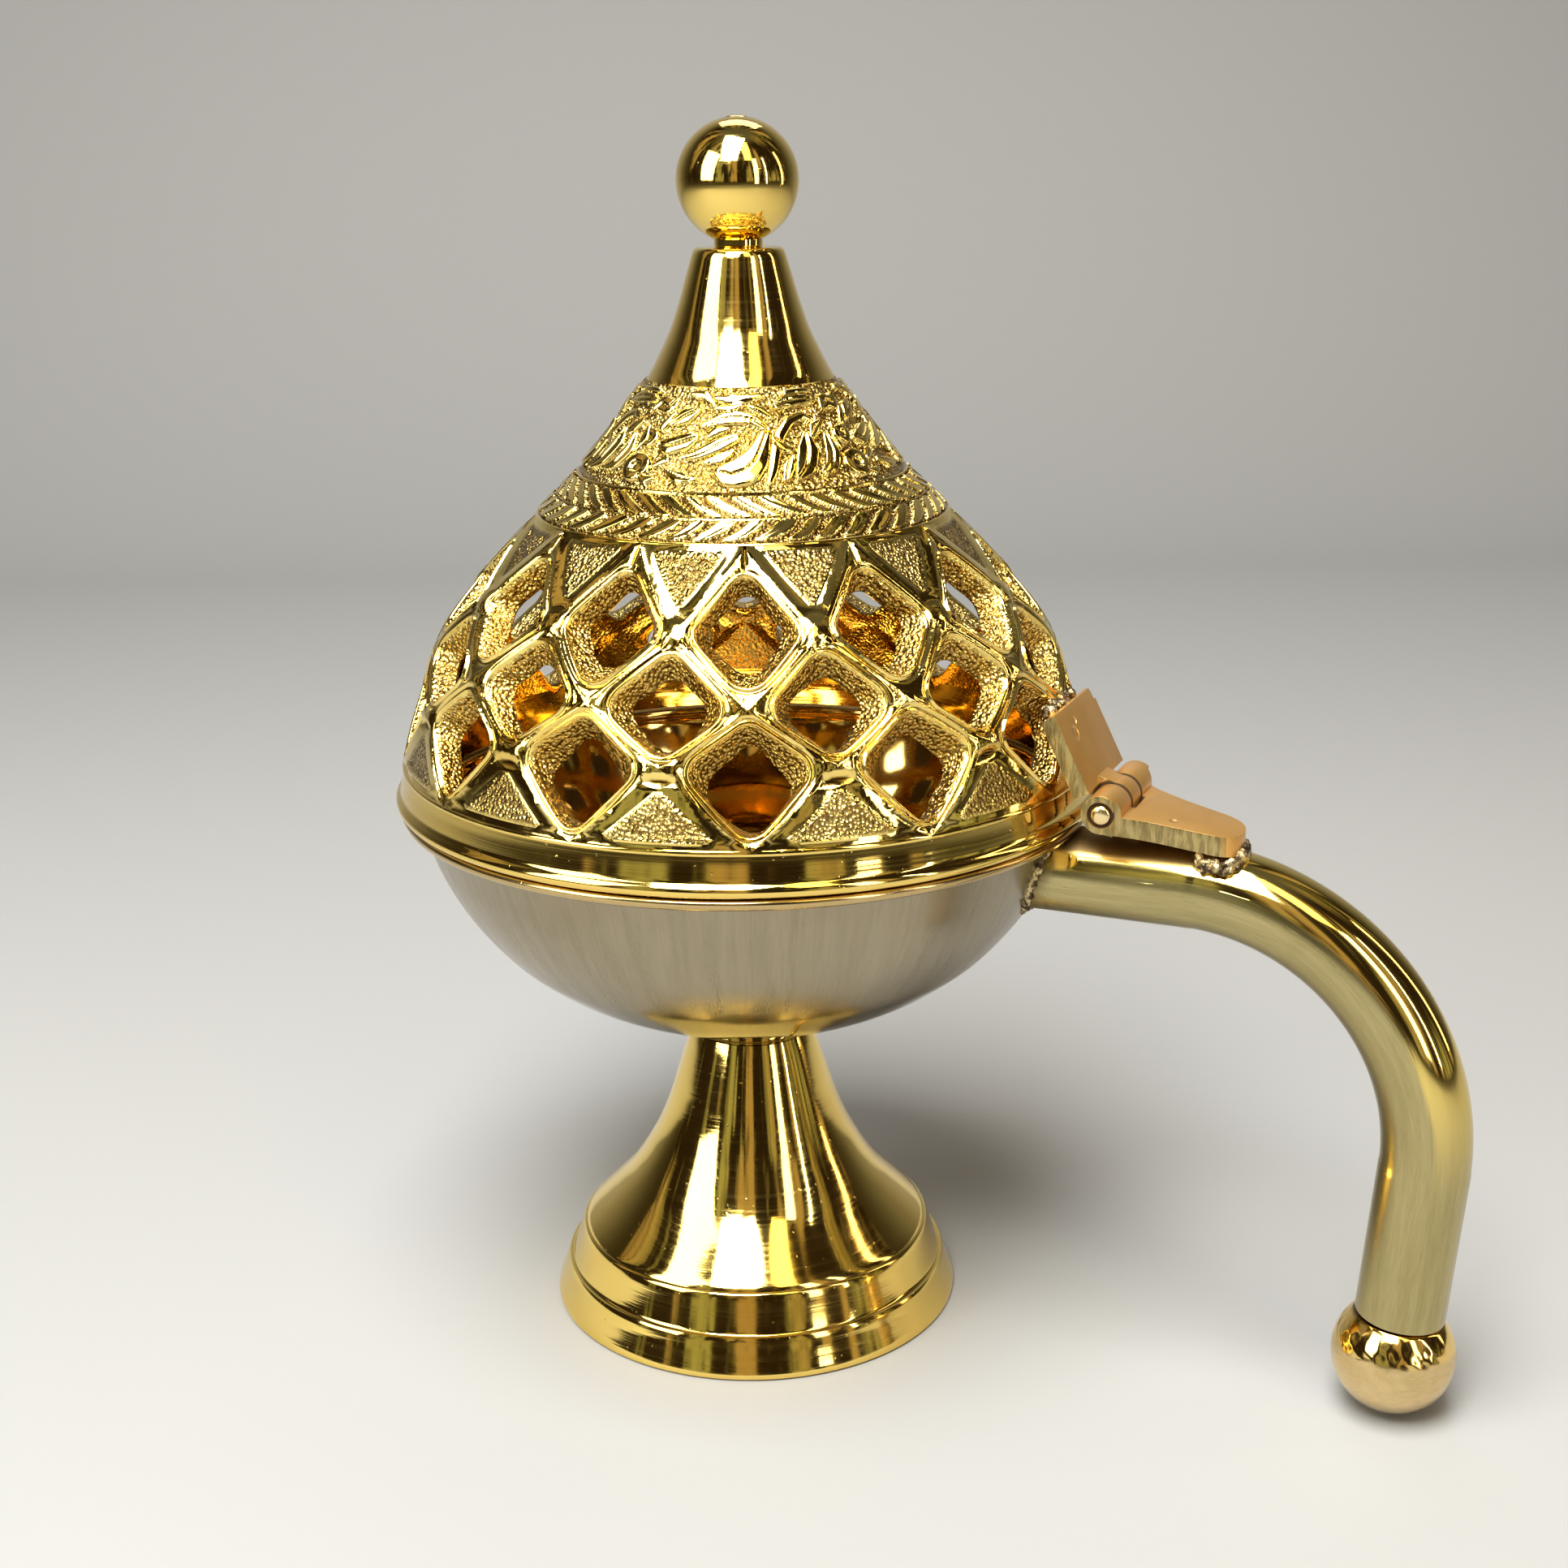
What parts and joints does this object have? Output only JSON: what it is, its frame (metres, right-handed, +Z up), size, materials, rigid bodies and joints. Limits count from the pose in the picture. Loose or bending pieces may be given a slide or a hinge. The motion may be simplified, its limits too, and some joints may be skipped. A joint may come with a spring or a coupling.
{
  "type": "thurible censer",
  "caption": "Hand-held brass censer with a bell foot, charcoal bowl, hinged pierced dome lid and a bent side handle ending in a ball.",
  "frame": {"origin": "on the axis of revolution of foot, bowl and lid, in the plane the foot stands on", "axes": "+Z up along the axis of revolution, +X towards the handle, the hinge pin is parallel to Y"},
  "size_m": [0.1539, 0.1, 0.1716],
  "materials": {
    "polished_brass": "mirror polished turned brass",
    "brushed_brass": "satin brushed brass, fine lines along the tube and round the bowl",
    "cast_brass": "cast brass, polished on the high relief, granular in the ground",
    "hinge_brass": "satin sawn and filed brass",
    "pin_brass": "satin riveted ends",
    "braze_brass": "rough as-brazed, darkened",
    "fastener_brass": "plain turned",
    "fastener_steel": "zinc plated"
  },
  "bodies": {
    "base": {"foot": "polished_brass", "bowl": "brushed_brass", "bowl_bolt": "fastener_steel", "bowl_washer": "fastener_steel", "foot_nut": "fastener_steel", "handle_tube": "brushed_brass", "handle_braze": "braze_brass", "tube_plug": "fastener_brass", "ball_stud": "fastener_brass", "handle_ball": "brushed_brass", "handle_leaf": "hinge_brass", "leaf_braze": "braze_brass", "hinge_pin": "pin_brass"},
    "lid": {"lid_dome": "cast_brass", "lid_leaf": "hinge_brass", "lid_leaf_braze": "braze_brass", "finial_ball": "polished_brass", "finial_stud": "polished_brass", "finial_washer": "fastener_steel", "finial_nut": "fastener_steel"}
  },
  "joints": [
    {"name": "lid_hinge", "type": "hinge", "parent": "base", "child": "lid", "pos_m": [0.0547, 0, 0.0834], "axis": [0, 1, 0], "range_deg": [0, 110]}
  ]
}
